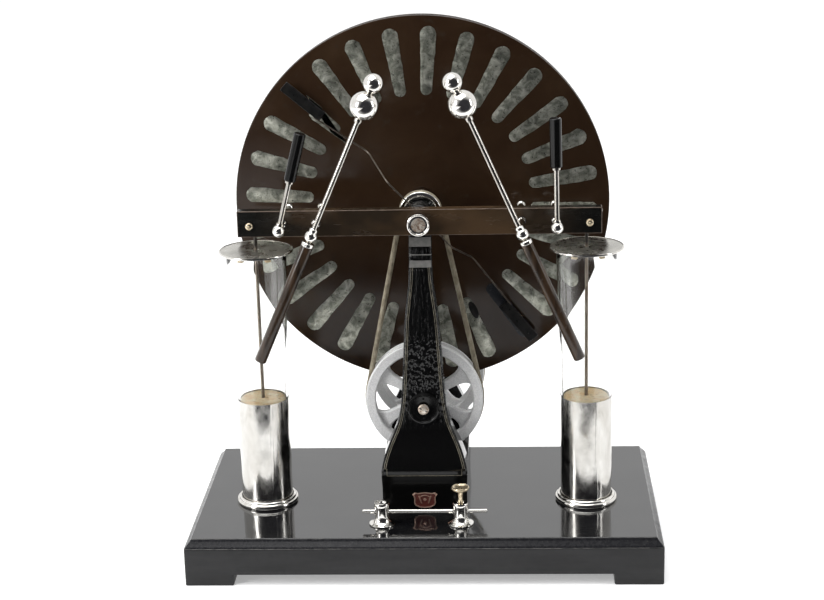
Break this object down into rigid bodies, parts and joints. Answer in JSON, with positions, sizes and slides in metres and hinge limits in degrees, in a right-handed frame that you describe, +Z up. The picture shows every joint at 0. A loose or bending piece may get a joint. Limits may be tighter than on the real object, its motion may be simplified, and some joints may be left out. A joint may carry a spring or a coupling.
{
  "type": "electrostatic influence machine",
  "caption": "Tabletop electrostatic influence machine: coaxial ebonite plates turned opposite ways by a crank and belts, with ball dischargers and glass Leyden jars on a lacquered base.",
  "frame": {"origin": "under the middle of the object's bounding box, on the plane the feet stand on", "axes": "+X to the operator's right across the base, +Y from the discharge balls to the crank, +Z up"},
  "size_m": [0.38, 0.272, 0.4329],
  "materials": {
    "black_lacquer": "glossy black lacquer over wood, worn at the edges",
    "japanned_iron": "glossy crazed black japan with thin gilt lines",
    "brown_ebonite": "dark brown polished hard rubber",
    "black_ebonite": "brown-black hard rubber",
    "nickel_plate": "polished nickel plate, slightly dulled",
    "brass": "dulled turned brass",
    "tin_foil": "hand-smoothed tin foil with fine creases",
    "grey_enamel": "satin silver-grey paint",
    "belt_cord": "round greyish tan belt",
    "jar_glass": "clear drawn glass",
    "cork": "fine-grained natural cork",
    "badge_enamel": "dark red panel in a copper border"
  },
  "bodies": {
    "stand": {"badge": "badge_enamel", "base_board": "black_lacquer", "foot_front_left": "black_lacquer", "foot_front_right": "black_lacquer", "foot_rear_left": "black_lacquer", "foot_rear_right": "black_lacquer", "front_bar": "brown_ebonite", "front_bearing_cap": "japanned_iron", "front_belt": "belt_cord", "front_column": "japanned_iron", "front_spindle_nut": "nickel_plate", "left_front_collector": "nickel_plate", "left_jar_cap": "nickel_plate", "left_jar_cork": "cork", "left_jar_foil": "tin_foil", "left_jar_glass": "jar_glass", "left_jar_ring": "nickel_plate", "left_jar_rod": "nickel_plate", "left_rear_collector": "nickel_plate", "left_terminal_post": "nickel_plate", "plinth": "japanned_iron", "rear_bar": "brown_ebonite", "rear_bearing_cap": "japanned_iron", "rear_belt": "belt_cord", "rear_column": "japanned_iron", "rear_spindle_nut": "nickel_plate", "right_front_collector": "nickel_plate", "right_jar_cap": "nickel_plate", "right_jar_cork": "cork", "right_jar_foil": "tin_foil", "right_jar_glass": "jar_glass", "right_jar_ring": "nickel_plate", "right_jar_rod": "nickel_plate", "right_rear_collector": "nickel_plate", "right_terminal_post": "nickel_plate", "upper_spindle": "nickel_plate"},
    "drive": {"drive_axle": "nickel_plate", "front_drive_wheel": "grey_enamel", "rear_drive_wheel": "grey_enamel", "crank_arm": "nickel_plate"},
    "crank_grip": {"crank_grip": "black_ebonite"},
    "front_disc": {"front_plate": "brown_ebonite", "front_hub_pulley": "nickel_plate"},
    "rear_disc": {"rear_plate": "brown_ebonite", "rear_hub_pulley": "nickel_plate"},
    "left_discharger": {"left_discharger_ball": "nickel_plate", "left_discharger_rod": "nickel_plate", "left_discharger_handle": "brown_ebonite"},
    "right_discharger": {"right_discharger_ball": "nickel_plate", "right_discharger_rod": "nickel_plate", "right_discharger_handle": "brown_ebonite"},
    "left_lever": {"left_lever_rod": "nickel_plate", "left_lever_handle": "black_ebonite"},
    "right_lever": {"right_lever_rod": "nickel_plate", "right_lever_handle": "black_ebonite"},
    "front_neutraliser": {"front_neutraliser": "black_ebonite"},
    "rear_neutraliser": {"rear_neutraliser": "black_ebonite"},
    "terminal_rod": {"terminal_rod": "nickel_plate"},
    "terminal_thumbscrew": {"terminal_thumbscrew": "brass"}
  },
  "joints": [
    {"name": "crank_turn", "type": "hinge", "parent": "stand", "child": "drive", "pos_m": [0, 0, 0.123], "axis": [0, 1, 0], "continuous": true},
    {"name": "crank_grip_turn", "type": "hinge", "parent": "drive", "child": "crank_grip", "pos_m": [0, 0.103, 0.061], "axis": [0, 1, 0], "continuous": true},
    {"name": "front_disc_turn", "type": "hinge", "parent": "stand", "child": "front_disc", "pos_m": [0, -0.0034, 0.2804], "axis": [0, 1, 0], "continuous": true},
    {"name": "rear_disc_turn", "type": "hinge", "parent": "stand", "child": "rear_disc", "pos_m": [0, 0.0034, 0.2804], "axis": [0, 1, 0], "continuous": true},
    {"name": "left_discharger_swing", "type": "hinge", "parent": "stand", "child": "left_discharger", "pos_m": [-0.0805, -0.114, 0.281], "axis": [0, 1, 0], "range_deg": [-60, 9]},
    {"name": "right_discharger_swing", "type": "hinge", "parent": "stand", "child": "right_discharger", "pos_m": [0.0805, -0.114, 0.281], "axis": [0, 1, 0], "range_deg": [-9, 60]},
    {"name": "left_lever_swing", "type": "hinge", "parent": "stand", "child": "left_lever", "pos_m": [-0.1074, -0.096, 0.281], "axis": [0, 1, 0], "range_deg": [-60, 40]},
    {"name": "right_lever_swing", "type": "hinge", "parent": "stand", "child": "right_lever", "pos_m": [0.1074, -0.096, 0.281], "axis": [0, 1, 0], "range_deg": [-55, 55]},
    {"name": "front_neutraliser_swing", "type": "hinge", "parent": "stand", "child": "front_neutraliser", "pos_m": [0, -0.046, 0.2804], "axis": [0, 1, 0], "range_deg": [-20, 4]},
    {"name": "rear_neutraliser_swing", "type": "hinge", "parent": "stand", "child": "rear_neutraliser", "pos_m": [0, 0.046, 0.2804], "axis": [0, 1, 0], "range_deg": [-4, 20]},
    {"name": "terminal_rod_slide", "type": "slide", "parent": "stand", "child": "terminal_rod", "axis": [1, 0, 0], "range_m": [-0.012, 0.012]},
    {"name": "thumbscrew_turn", "type": "hinge", "parent": "stand", "child": "terminal_thumbscrew", "pos_m": [0.0296, -0.1025, 0.065], "axis": [0, 0, 1], "continuous": true}
  ],
  "couplings": [
    {"joint": "front_disc_turn", "follows": "crank_turn", "ratio": 3.072},
    {"joint": "rear_disc_turn", "follows": "crank_turn", "ratio": -3.072}
  ]
}
